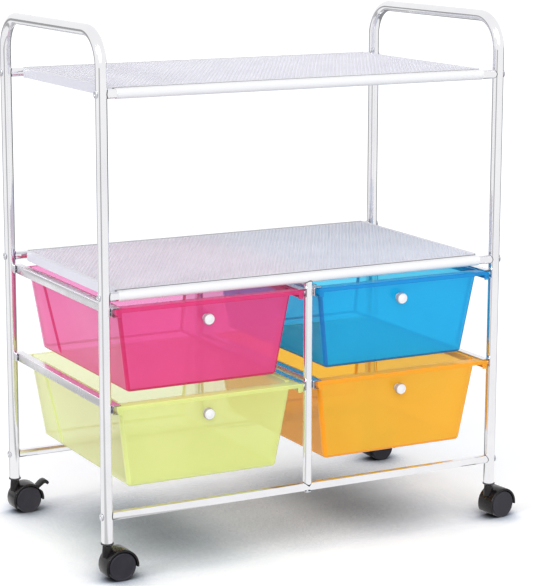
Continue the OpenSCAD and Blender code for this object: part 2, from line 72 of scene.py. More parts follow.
def pick(kind, test):  # selects vertices, edges or faces of the open mesh that pass the test
    bpy.ops.mesh.select_mode(type=kind)
    bpy.ops.mesh.select_all(action="DESELECT")
    mesh = bmesh.from_edit_mesh(bpy.context.object.data)
    found = 0
    for item in {"VERT": mesh.verts, "EDGE": mesh.edges, "FACE": mesh.faces}[kind]:
        if test(item):
            item.select_set(True)
            found += 1
    mesh.select_flush_mode()
    bmesh.update_edit_mesh(bpy.context.object.data)
    return found


def middle(edge):
    return (edge.verts[0].co + edge.verts[1].co) / 2


def pull(x=0.0, y=0.0, z=0.0):  # extrudes the selection and moves it
    bpy.ops.mesh.extrude_region_move(TRANSFORM_OT_translate={"value": (x, y, z)})


def shift(x=0.0, y=0.0, z=0.0):
    bpy.ops.transform.translate(value=(x, y, z))


def stretch(factors, about):
    bpy.ops.transform.resize(value=factors, center_override=about)


def cutPlane(point, normal):
    bpy.ops.mesh.select_all(action="SELECT")
    bpy.ops.mesh.bisect(plane_co=point, plane_no=normal)


def turnEdge(centre, axis, degrees, steps):
    bpy.ops.mesh.spin(steps=steps, angle=math.radians(degrees), center=centre, axis=axis)


def tidyMesh(outward=True):
    bpy.ops.mesh.select_all(action="SELECT")
    bpy.ops.mesh.remove_doubles(threshold=weld)
    if outward:
        bpy.ops.mesh.normals_make_consistent(inside=False)


def modify(obj, kind, **values):
    makeActive(obj)
    modifier = obj.modifiers.new(kind.title(), kind)
    for key, value in values.items():
        setattr(modifier, key, value)
    bpy.ops.object.modifier_apply(modifier=modifier.name)


def roundEdges(obj, width, segments=2, angle=35):
    modify(obj, "BEVEL", width=width, segments=segments, limit_method="ANGLE",
           angle_limit=math.radians(angle), harden_normals=False, use_clamp_overlap=True)


def joinPieces(first, *others):
    makeActive(first)
    for other in others:
        other.select_set(True)
    bpy.ops.object.join()
    return first


def placeMesh(obj):  # puts the object at the origin, with its place in its mesh
    makeActive(obj)
    bpy.ops.object.transform_apply(location=True, rotation=True, scale=True)


def copyTo(obj, offset, turn=0.0):
    twin = obj.copy()
    twin.data = obj.data.copy()
    scene.collection.objects.link(twin)
    twin.data.transform(Matrix.Translation(offset) @ Matrix.Rotation(turn, 4, "Z"))
    return twin


def settle(obj, name, body, material, replaced, smooth=32):
    placeMesh(obj)
    bpy.ops.object.shade_smooth_by_angle(angle=math.radians(smooth))
    obj.name = name
    obj.data.name = name
    obj.data.materials.clear()
    obj.data.materials.append(material)
    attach(obj, body)
    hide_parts(*replaced)
    return obj


def discard(obj):
    bpy.data.objects.remove(obj)


def addTube(start, end, radius, around):  # open tube skin between two points
    along = Vector(end) - Vector(start)
    startFresh()
    bpy.ops.mesh.primitive_cylinder_add(vertices=around, radius=radius, depth=along.length, end_fill_type="NOTHING",
                                        location=(Vector(start) + Vector(end)) / 2,
                                        rotation=along.to_track_quat("Z", "Y").to_euler())
    tube = bpy.context.object
    placeMesh(tube)
    return tube


def openCylinder(around, radius, depth, place, axis):  # its mesh is left open for editing
    startFresh()
    turns = {"X": (0, math.pi / 2, 0), "Y": (math.pi / 2, 0, 0), "Z": (0, 0, 0)}
    bpy.ops.mesh.primitive_cylinder_add(vertices=around, radius=radius, depth=depth, location=place,
                                        rotation=turns[axis])
    piece = bpy.context.object
    placeMesh(piece)
    openMesh(piece)
    return piece


def insetAll(*widths):
    for width in widths:
        bpy.ops.mesh.inset(thickness=width)


def stepTo(step, radius, axis):  # extrudes the chosen disc along an axis (0 is X) and brings it to a radius
    mesh = bmesh.from_edit_mesh(bpy.context.object.data)
    across = [n for n in range(3) if n != axis]
    now = max(sum(v.co[n] ** 2 for n in across) ** 0.5 for v in mesh.verts if v.select)
    move, factors = [0, 0, 0], [radius / now] * 3
    move[axis], factors[axis] = step, 1
    pull(*move)
    stretch(factors, (0, 0, 0))


# node helpers and shared node groups

def link(tree, source, target):
    tree.links.new(source, target)


def feed(tree, source, target):  # links a socket or sets a plain value
    if isinstance(source, bpy.types.NodeSocket):
        link(tree, source, target)
    else:
        target.default_value = source


def setInputs(node, values):
    for key, value in values.items():
        node.inputs[key].default_value = value


def addNode(tree, kind, **values):
    node = tree.nodes.new("ShaderNode" + kind)
    for key, value in values.items():
        setattr(node, key, value)
    return node


def calculate(tree, operation, *given, kind="Math", result="Value"):
    node = addNode(tree, kind, operation=operation)
    for value, target in zip(given, node.inputs):
        feed(tree, value, target)
    return node.outputs[result]


def ranged(tree, value, fromRange, toRange):
    node = addNode(tree, "MapRange")
    labels = ("Value", "From Min", "From Max", "To Min", "To Max")
    for label, number in zip(labels, (value, *fromRange, *toRange)):
        feed(tree, number, node.inputs[label])
    return node.outputs["Result"]


def mixTwo(tree, share, first, second, kind="RGBA"):  # share goes to the second
    node = addNode(tree, "Mix", data_type=kind)
    for label, value in (("Factor", share), ("A", first), ("B", second)):
        feed(tree, value, node.inputs[label])
    return node.outputs["Result"]


def blendShaders(tree, share, first, second):  # share goes to the second
    node = addNode(tree, "MixShader")
    for value, target in zip((share, first, second), node.inputs):
        feed(tree, value, target)
    return node.outputs["Shader"]


def plainShader(tree, kind, color):
    node = addNode(tree, kind)
    node.inputs["Color"].default_value = (*color, 1)
    return node.outputs["BSDF"]


def splitUp(tree, vector):
    node = addNode(tree, "SeparateXYZ")
    link(tree, vector, node.inputs["Vector"])
    return node.outputs


def objectPlace(tree):
    return addNode(tree, "TexCoord").outputs["Object"]


def turnOf(tree):  # how much a face looks along each axis, either way
    facing = addNode(tree, "NewGeometry").outputs["True Normal"]
    return splitUp(tree, calculate(tree, "ABSOLUTE", facing, kind="VectorMath", result="Vector"))


def addRamp(tree, factor, tones):  # tones are positions with their colours
    ramp = addNode(tree, "ValToRGB")
    stops = ramp.color_ramp.elements
    while len(stops) < len(tones):
        stops.new(0.5)
    for stop, (position, color) in zip(stops, tones):
        stop.position = position
    for stop, (position, color) in zip(stops, tones):
        stop.color = (*color, 1)
    link(tree, factor, ramp.inputs["Fac"])
    return ramp.outputs["Color"]


def seenByRays(tree, *rays):  # 1 for the named kinds of ray, 0 for the others
    paths = addNode(tree, "LightPath")
    value = paths.outputs[rays[0]]
    for ray in rays[1:]:
        value = calculate(tree, "MAXIMUM", value, paths.outputs[ray])
    return value


def skinOf(material):  # its tree, its shader and what feeds the shader's base colour
    tree = material.node_tree
    shader = tree.nodes["Principled BSDF"]
    return tree, shader, shader.inputs["Base Color"].links[0].from_socket


def newGroup(name, inputs, outputs):
    group = bpy.data.node_groups.new(name, "ShaderNodeTree")
    for label, kind, value in inputs:
        socket = group.interface.new_socket(name=label, in_out="INPUT", socket_type=kind)
        socket.default_value = value
    for label, kind in outputs:
        group.interface.new_socket(name=label, in_out="OUTPUT", socket_type=kind)
    return group, group.nodes.new("NodeGroupInput").outputs, group.nodes.new("NodeGroupOutput").inputs


def makeCloudGroup():  # slow changes of tone and gloss over a surface
    group, given, result = newGroup("softClouds", [
        ("Scale", "NodeSocketFloat", 20.0), ("Low", "NodeSocketFloat", 0.0), ("High", "NodeSocketFloat", 1.0),
        ("Color A", "NodeSocketColor", (1, 1, 1, 1)), ("Color B", "NodeSocketColor", (0, 0, 0, 1))],
        [("Color", "NodeSocketColor"), ("Value", "NodeSocketFloat")])
    noise = addNode(group, "TexNoise")
    setInputs(noise, {"Detail": 5.0, "Roughness": 0.6})
    link(group, objectPlace(group), noise.inputs["Vector"])
    link(group, given["Scale"], noise.inputs["Scale"])
    cloud, used = noise.outputs["Fac"], (0.3, 0.7)
    share = ranged(group, cloud, used, (0, 1))
    link(group, mixTwo(group, share, given["Color A"], given["Color B"]), result["Color"])
    link(group, ranged(group, cloud, used, (given["Low"], given["High"])), result["Value"])
    return group


def makeGrainGroup():  # fine surface relief, from moulding grain to orange peel
    group, given, result = newGroup("fineGrain", [
        ("Scale", "NodeSocketFloat", 600.0), ("Strength", "NodeSocketFloat", 1.0),
        ("Stretch", "NodeSocketVector", (1.0, 1.0, 1.0))], [("Height", "NodeSocketFloat")])
    stretched = calculate(group, "MULTIPLY", objectPlace(group), given["Stretch"], kind="VectorMath", result="Vector")
    coarse = addNode(group, "TexNoise")
    coarse.inputs["Detail"].default_value = 3.0
    fine = addNode(group, "TexVoronoi", feature="SMOOTH_F1")
    for texture in (coarse, fine):
        link(group, stretched, texture.inputs["Vector"])
        link(group, given["Scale"], texture.inputs["Scale"])
    both = calculate(group, "ADD", coarse.outputs["Fac"], fine.outputs["Distance"])
    link(group, calculate(group, "MULTIPLY", both, given["Strength"]), result["Height"])
    return group


cloudGroup = makeCloudGroup()
grainGroup = makeGrainGroup()


# grain is its scale, the bump's strength and depth in metres, and a stretch where it runs one way
def makeFinish(name, colorA, colorB, cloudScale, rough, grain, metallic=0.0, constants=None):
    material = bpy.data.materials.new(name)
    material.use_nodes = True
    tree = material.node_tree
    shader = tree.nodes["Principled BSDF"]
    clouds = addNode(tree, "Group", node_tree=cloudGroup)
    setInputs(clouds, {"Scale": cloudScale, "Low": rough[0], "High": rough[1],
                       "Color A": (*colorA, 1), "Color B": (*colorB, 1)})
    link(tree, clouds.outputs["Color"], shader.inputs["Base Color"])
    link(tree, clouds.outputs["Value"], shader.inputs["Roughness"])
    relief = addNode(tree, "Group", node_tree=grainGroup)
    setInputs(relief, {"Scale": grain[0], "Strength": 1.0, "Stretch": grain[3] if len(grain) > 3 else (1, 1, 1)})
    bump = addNode(tree, "Bump")
    setInputs(bump, {"Strength": grain[1], "Distance": grain[2]})
    link(tree, relief.outputs["Height"], bump.inputs["Height"])
    link(tree, bump.outputs["Normal"], shader.inputs["Normal"])
    setInputs(shader, {"Metallic": metallic, **(constants or {})})
    return material


finishes = {
    "chrome": makeFinish("mirrorChrome", (0.90, 0.90, 0.92), (0.84, 0.84, 0.87), 14, (0.06, 0.13),
                         (90, 0.04, 0.0003), metallic=1.0),
    "shelfPaint": makeFinish("shelfPowderCoat", (0.70, 0.695, 0.76), (0.65, 0.645, 0.72), 9, (0.32, 0.45),
                             (900, 0.15, 0.0001), constants={"Coat Weight": 0.15, "Coat Roughness": 0.2}),
    "runnerSteel": makeFinish("runnerSteel", (0.88, 0.875, 0.91), (0.82, 0.815, 0.85), 18, (0.20, 0.32),
                              (700, 0.12, 0.0001), metallic=1.0),
    "zinc": makeFinish("zincPlate", (0.78, 0.79, 0.82), (0.62, 0.63, 0.66), 160, (0.2, 0.38),
                       (1200, 0.2, 0.0001, (1, 1, 0.15)), metallic=1.0),
    "plugPlastic": makeFinish("plugPlastic", (0.025, 0.025, 0.028), (0.045, 0.045, 0.05), 60, (0.4, 0.6),
                              (1500, 0.3, 0.0001)),
    "hoodPlastic": makeFinish("hoodPlastic", (0.006, 0.005, 0.006), (0.012, 0.010, 0.011), 45, (0.18, 0.32),
                              (500, 0.12, 0.0001), constants={"Specular IOR Level": 0.22, "Coat Weight": 0.10,
                                                              "Coat Roughness": 0.1}),
    "wheelPlastic": makeFinish("wheelNylon", (0.016, 0.015, 0.022), (0.025, 0.024, 0.033), 70, (0.45, 0.62),
                               (1400, 0.35, 0.0001), constants={"Specular IOR Level": 0.35}),
    "knobPlastic": makeFinish("knobPlastic", (0.80, 0.80, 0.80), (0.73, 0.73, 0.75), 60, (0.14, 0.26),
                              (800, 0.08, 0.0001), constants={"Coat Weight": 0.4, "Coat Roughness": 0.06}),
}


def paintShadeByTurn(material, fromTurn, toTurn, color):  # painted shade: the dark colour comes in between two turns to the front or rear
    tree, shader, skin = skinOf(material)
    share = ranged(tree, turnOf(tree)["Y"], (fromTurn, toTurn), (0, 1))
    link(tree, mixTwo(tree, share, skin, (*color, 1)), shader.inputs["Base Color"])


paintShadeByTurn(finishes["runnerSteel"], 0.7, 0.9, (0.05, 0.05, 0.055))  # painted shade: the channels' end faces are made near black for the shade inside the channels
paintShadeByTurn(finishes["knobPlastic"], 0.85, 0.3, (0.36, 0.33, 0.35))  # painted shade on the rim, the faces turned away from the front


# milky plastic: edge is a painted shade for corners, folds and the rim's lip, side is a painted light on the side
# walls, glow is the light that soaks into it, seen is what shows through it
def makeTinted(name, skinA, skinB, edge, side, glow, seen):
    t = tintSettings
    material = makeFinish(name, skinA, skinB, t["clouds"], t["rough"], t["grain"],
                          constants={"IOR": 1.4, "Coat Weight": 0.18, "Coat Roughness": 0.09})
    tree, shader, skin = skinOf(material)
    turn = turnOf(tree)
    most = turn["X"]
    for axis in ("Y", "Z"):
        most = calculate(tree, "MAXIMUM", most, turn[axis])
    turned = ranged(tree, most, t["cornerTurn"], (0, 1))  # 1 at corners and folds, 0 on level walls
    sideways = lambda low, high: ranged(tree, turn["X"], t["sideTurn"], (low, high))
    alongY = splitUp(tree, objectPlace(tree))["Y"]

    # share of what is seen through the front, rear and side walls, and of light that soaks in
    endWall = ranged(tree, alongY, t["rearFrom"], (t["seeFront"], t["seeRear"]))
    share = mixTwo(tree, sideways(0, 1), endWall, t["seeSide"], "FLOAT")
    clear = calculate(tree, "MULTIPLY", share, ranged(tree, turned, (0, 1), (1, t["foldClear"])))
    held = calculate(tree, "MULTIPLY", sideways(t["soakFront"], t["soakSide"]),
                     ranged(tree, turned, (0, 1), (1, t["foldSoak"])))

    # painted light and shade: side walls are painted paler, a painted light; corners, folds and the rim's lip are
    # painted deeper in colour, a painted shade
    lip = ranged(tree, alongY, (t["lipEnd"], t["lipEnd"] + 0.001), (t["lipShade"], 0))
    sideLit = mixTwo(tree, sideways(0, t["paintedSideLight"]), skin, (*side, 1))
    # painted shade: corners, folds and the lip's band get the deeper edge colour
    shadeDeepened = mixTwo(tree, calculate(tree, "MAXIMUM", turned, lip), sideLit, (*edge, 1))
    link(tree, shadeDeepened, shader.inputs["Base Color"])
    body = blendShaders(tree, held, shader.outputs["BSDF"], plainShader(tree, "BsdfTranslucent", glow))
    wall = blendShaders(tree, clear, body, plainShader(tree, "BsdfTransparent", seen))
    cast = plainShader(tree, "BsdfTransparent", (t["cast"],) * 3)  # light that the wall lets by into the drawer
    lit = blendShaders(tree, seenByRays(tree, "Is Shadow Ray"), wall, cast)
    farSkin = plainShader(tree, "BsdfTransparent", (1, 1, 1))  # a wall has two skins and tints once
    whole = blendShaders(tree, addNode(tree, "NewGeometry").outputs["Backfacing"], lit, farSkin)
    link(tree, whole, tree.nodes["Material Output"].inputs["Surface"])
    return material


tintSettings = {"seeFront": 0.25, "seeSide": 0.45, "seeRear": 0.65, "foldClear": 0.2, "cast": 0.88,
                "soakFront": 0.24, "soakSide": 0.36, "foldSoak": 0.3, "paintedSideLight": 0.8,
                "clouds": 11, "rough": (0.16, 0.26), "grain": (180, 0.03, 0.0001),
                "cornerTurn": (0.986, 0.970), "sideTurn": (0.5, 0.9), "rearFrom": (0.10, 0.12),
                "lipEnd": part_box("upper_left_drawer")[0].y + 0.0025, "lipShade": 0.6}
# each tint: two skin colours, a painted shade for corners, folds and lip, a painted light for side walls, then glow and
# seen
tints = {
    "upper_left": makeTinted("pinkPlastic", (0.85, 0.072, 0.275), (0.81, 0.062, 0.25), (0.64, 0.012, 0.12),
                             (1.0, 0.42, 0.60), (1.0, 0.33, 0.61), (0.96, 0.43, 0.71)),
    "lower_left": makeTinted("limePlastic", (0.78, 0.89, 0.30), (0.74, 0.86, 0.26), (0.724, 0.81, 0.28),
                             (0.95, 1.0, 0.72), (0.94, 1.0, 0.62), (0.91, 0.94, 0.70)),
    "upper_right": makeTinted("bluePlastic", (0.003, 0.45, 0.86), (0.002, 0.41, 0.81), (0.0, 0.165, 0.53),
                              (0.03, 0.58, 0.95), (0.07, 0.70, 1.0), (0.17, 0.74, 0.95)),
    "lower_right": makeTinted("orangePlastic", (1.0, 0.585, 0.045), (1.0, 0.545, 0.038), (1.0, 0.35, 0.0),
                              (1.0, 0.66, 0.32), (1.0, 0.70, 0.18), (1.0, 0.55, 0.07)),
}
print("finishes ready,", len(finishes) + len(tints))


# side hoops

hoopSettings = {"radius": 0.008, "bend": 0.048, "wall": 0.0012, "around": 48, "bendSteps": 16}


def makeHoop(node):
    low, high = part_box(node)
    radius, bend = hoopSettings["radius"], hoopSettings["bend"]
    x, front, rear, top = (low.x + high.x) / 2, low.y + radius, high.y - radius, high.z - radius
    startFresh()
    bpy.ops.mesh.primitive_circle_add(vertices=hoopSettings["around"], radius=radius, fill_type="NOTHING",
                                      location=(x, front, low.z))
    hoop = bpy.context.object
    placeMesh(hoop)
    openMesh(hoop)
    bpy.ops.mesh.select_all(action="SELECT")
    pull(z=top - bend - low.z)
    turnEdge((x, front + bend, top - bend), (1, 0, 0), 90, hoopSettings["bendSteps"])
    pull(y=rear - front - 2 * bend)
    turnEdge((x, rear - bend, top - bend), (1, 0, 0), 90, hoopSettings["bendSteps"])
    pull(z=low.z - top + bend)
    tidyMesh()
    closeMesh()
    modify(hoop, "SOLIDIFY", thickness=hoopSettings["wall"], offset=-1.0)
    return settle(hoop, "chromed_" + node, "frame", finishes["chrome"], [node])


for hoopNode in ("left_side_hoop", "right_side_hoop"):
    makeHoop(hoopNode)
print("side hoops bent")


# cross tubes and centre posts, their ends cut to the posts and tubes that they meet

tubeSettings = {"radius": 0.00635, "wall": 0.001, "around": 44, "cutAround": 96, "cutPast": 0.01,
                "postCut": 0.0089, "bottomCut": 0.00725, "hemCut": 0.0081, "cutHalf": 0.02}


def makeStraightTube(node, axis, cutters):
    low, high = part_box(node)
    centre = (low + high) / 2
    start, end = centre.copy(), centre.copy()
    start[axis], end[axis] = low[axis], high[axis]
    tube = addTube(start, end, tubeSettings["radius"], tubeSettings["around"])
    openMesh(tube)
    tidyMesh()
    closeMesh()
    modify(tube, "SOLIDIFY", thickness=tubeSettings["wall"], offset=-1.0)
    for cutStart, cutEnd, cutRadius in cutters:
        cutter = addTube(cutStart, cutEnd, cutRadius, tubeSettings["cutAround"])
        openMesh(cutter)
        bpy.ops.mesh.select_all(action="SELECT")
        bpy.ops.mesh.fill_holes(sides=0)
        bpy.ops.mesh.normals_make_consistent(inside=False)
        closeMesh()
        modify(tube, "BOOLEAN", operation="DIFFERENCE", object=cutter, solver="EXACT")
        discard(cutter)
    return settle(tube, "chromed_" + node, "frame", finishes["chrome"], [node])


leftHoopBox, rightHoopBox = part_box("left_side_hoop"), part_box("right_side_hoop")
leftPostX = (leftHoopBox[0].x + leftHoopBox[1].x) / 2
rightPostX = (rightHoopBox[0].x + rightHoopBox[1].x) / 2
frontPostY = leftHoopBox[0].y + hoopSettings["radius"]
rearPostY = leftHoopBox[1].y - hoopSettings["radius"]
centreX = (leftPostX + rightPostX) / 2

ends = (("front", frontPostY), ("rear", rearPostY))
levels = ("top", "middle", "bottom")
for level in levels:
    for end, postY in ends:
        tubeNode = f"{level}_{end}_tube"
        tubeLow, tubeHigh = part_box(tubeNode)
        under, above = tubeLow.z - tubeSettings["cutPast"], tubeHigh.z + tubeSettings["cutPast"]
        makeStraightTube(tubeNode, 0, [((x, postY, under), (x, postY, above), tubeSettings["postCut"])
                                       for x in (leftPostX, rightPostX)])


def tubeLevel(level, end):
    tubeLow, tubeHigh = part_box(f"{level}_{end}_tube")
    return (tubeLow.z + tubeHigh.z) / 2


for end, postY in ends:
    fromX, toX = centreX - tubeSettings["cutHalf"], centreX + tubeSettings["cutHalf"]
    makeStraightTube(f"{end}_centre_post", 2, [
        ((fromX, postY, tubeLevel(level, end)), (toX, postY, tubeLevel(level, end)), tubeSettings[cut])
        for level, cut in (("bottom", "bottomCut"), ("middle", "hemCut"))])
print("cross tubes and centre posts cut")


# perforated shelves with hemmed long edges and down-turned ends

# seamShade is a painted shade for the groove behind the hems, hemLight a painted light along the hems
shelfSettings = {"pitch": 0.006, "web": 0.0021, "border": 0.0095, "thickness": 0.0008, "flange": 0.0131,
                 "groove": 0.0012, "grooveFloor": 0.0045, "grooveSlope": 0.0006, "seamFade": 0.0008, "seamPast": 0.0004,
                 "endMargin": 0.012, "sideMargin": 0.003,
                 "hemDegrees": 210, "hemSteps": 8, "hemRadius": 0.0068,
                 "seamShade": (0.19, 0.187, 0.195), "hemLight": (0.77, 0.77, 0.785)}


def paintHemLightAndShade(material):  # painted light and shade: the hems are pressed smooth and painted brighter, a painted light along them, and the groove behind them is painted dark, a painted shade
    s = shelfSettings
    seam = (rearPostY - frontPostY) / 2 - s["border"]
    grooveWidth = s["grooveFloor"] + 2 * s["grooveSlope"]
    tree, shader, skin = skinOf(material)
    across = calculate(tree, "SUBTRACT", splitUp(tree, objectPlace(tree))["Y"], (rearPostY + frontPostY) / 2)
    away = calculate(tree, "ABSOLUTE", across)
    for start, end, color in ((seam - s["seamFade"], seam + s["seamPast"], s["seamShade"]),
                              (seam + grooveWidth - s["seamFade"], seam + grooveWidth, s["hemLight"])):
        skin = mixTwo(tree, ranged(tree, away, (start, end), (0, 1)), skin, (*color, 1))
    link(tree, skin, shader.inputs["Base Color"])


paintHemLightAndShade(finishes["shelfPaint"])


def makeShelf(node):
    low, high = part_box(node)
    s = shelfSettings
    skinZ = high.z - s["thickness"] / 2
    tubeZ = skinZ - s["hemRadius"]
    halfX = (high.x - low.x - s["thickness"]) / 2
    centre = (low + high) / 2
    halfY = rearPostY - centre.y
    pitch, side = s["pitch"], s["pitch"] / math.sqrt(3)  # a hexagon's width and the length of its side
    columns = int((2 * halfX - s["endMargin"]) / pitch)
    rowPairs = int((2 * (halfY - s["border"]) - s["sideMargin"]) / (3 * side))
    startFresh()
    bpy.ops.mesh.primitive_circle_add(vertices=6, radius=side, fill_type="NGON",
                                      location=(-(columns - 0.5) * pitch / 2, -(2 * rowPairs - 1) * 0.75 * side, 0))
    shelf = bpy.context.object
    placeMesh(shelf)
    openMesh(shelf)
    bpy.ops.mesh.select_all(action="SELECT")
    bpy.ops.mesh.duplicate_move(TRANSFORM_OT_translate={"value": (pitch / 2, 1.5 * side, 0)})
    closeMesh()
    modify(shelf, "ARRAY", count=columns, use_relative_offset=False, use_constant_offset=True,
           constant_offset_displace=(pitch, 0, 0))
    modify(shelf, "ARRAY", count=rowPairs, use_relative_offset=False, use_constant_offset=True,
           constant_offset_displace=(0, 3 * side, 0))
    openMesh(shelf)
    tidyMesh()
    endX, endY = columns * pitch / 2 - pitch * 0.35, (2 * rowPairs - 1) * 0.75 * side
    pick("EDGE", lambda e: e.is_boundary)
    pull()
    flatY = halfY - s["border"]
    for way in (-1, 1):  # the zigzag border becomes a straight one
        pick("VERT", lambda v: v.is_boundary and v.co.y * way > endY + 0.1 * side)
        stretch((1, 0, 1), (0, way * flatY, 0))
    for way in (-1, 1):
        pick("VERT", lambda v: v.is_boundary and v.co.x * way > endX and
             (abs(v.co.y) < flatY - close or v.co.x * way > columns * pitch / 2 + pitch * 0.2))
        stretch((0, 1, 1), (way * halfX, 0, 0))
    tidyMesh()
    area = 1.5 * math.sqrt(3) * side * side
    atHole = lambda f: len(f.verts) == 6 and abs(f.calc_area() - area) < 0.02 * area
    pick("EDGE", lambda e: any(atHole(f) for f in e.link_faces))
    bpy.ops.mesh.bevel(offset=s["web"] / 2, segments=1, affect="EDGES", clamp_overlap=False)
    holeArea = area * (1 - s["web"] / pitch) ** 2
    print("holes", pick("FACE", lambda f: len(f.verts) == 6 and abs(f.calc_area() - holeArea) < 0.1 * holeArea))
    bpy.ops.mesh.delete(type="FACE")
    bpy.ops.mesh.select_all(action="SELECT")
    shift(centre.x, centre.y, skinZ)
    for way in (-1, 1):
        pick("EDGE", lambda e: abs(middle(e).x - centre.x - way * halfX) < close and e.is_boundary)
        pull(z=-s["flange"])
    for way in (-1, 1):
        edgeY = centre.y + way * flatY
        pick("EDGE", lambda e: abs(middle(e).y - edgeY) < close and abs(middle(e).z - skinZ) < 2 * close
             and e.is_boundary)
        slope = s["grooveSlope"]
        for outward, upward in ((slope, -s["groove"]), (s["grooveFloor"], 0), (slope, s["groove"])):
            pull(y=way * outward, z=upward)
        pull(y=way * (halfY - flatY - s["grooveFloor"] - 2 * slope))
        turnEdge((centre.x, centre.y + way * halfY, tubeZ), (way, 0, 0), s["hemDegrees"], s["hemSteps"])
    tidyMesh()
    closeMesh()
    modify(shelf, "SOLIDIFY", thickness=s["thickness"], offset=0.0)
    return settle(shelf, "perforated_" + node, "frame", finishes["shelfPaint"], [node])


for shelfNode in ("top_shelf", "middle_shelf"):
    perforated = makeShelf(shelfNode)
    print(shelfNode, "has", sum(len(face.vertices) - 2 for face in perforated.data.polygons), "triangles")


# folded channels that carry the drawers' rims

runnerSettings = {"sheet": 0.001, "fold": 0.0014, "softEdge": 0.0002}


def makeRunner(node, openSide):
    low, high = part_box(node)
    size, centre = high - low, (low + high) / 2
    startFresh()
    bpy.ops.mesh.primitive_cube_add(size=1, location=centre)
    runner = bpy.context.object
    runner.scale = size
    placeMesh(runner)
    openMesh(runner)
    pick("FACE", lambda f: abs(f.normal.y) > 0.9 or f.normal.x * openSide > 0.9)
    bpy.ops.mesh.delete(type="FACE")
    backX = low.x if openSide > 0 else high.x
    pick("EDGE", lambda e: abs(middle(e).x - backX) < close and abs(middle(e).y - centre.y) < 10 * close)
    bpy.ops.mesh.bevel(offset=runnerSettings["fold"], segments=4, affect="EDGES")
    closeMesh()
    modify(runner, "SOLIDIFY", thickness=runnerSettings["sheet"], offset=-1.0)
    roundEdges(runner, runnerSettings["softEdge"], 1, 60)
    return settle(runner, "folded_" + node, "frame", finishes["runnerSteel"], [node])


for height in ("upper", "lower"):
    for place, openSide in (("left", 1), ("centre_right", 1), ("right", -1), ("centre_left", -1)):
        makeRunner(f"{place}_{height}_runner", openSide)
print("runners folded")


# drawers: one tub is modelled with its rim's front edge at y = 0 and its top at z = 0, then copied

drawerSettings = {
    "rimHalf": 0.143275, "length": 0.352, "height": 0.124, "wall": 0.002,
    "sideRim": 0.009, "frontRim": 0.0175, "rearRim": 0.004,
    "frontLip": 0.0055, "sideLip": 0.0097, "ear": 0.0125,
    "sideLean": 0.019, "frontLean": 0.012, "rearLean": 0.0085,
    "corner": 0.0065, "baseRound": 0.0045, "softEdge": 0.0008,
    "foldFromRear": 0.059, "foldLean": 0.029, "foldWidth": 0.0065, "foldDepth": 0.002,
    "strip": 0.005, "frontStrip": 0.009, "frontStep": 0.004, "opening": 0.004,
}


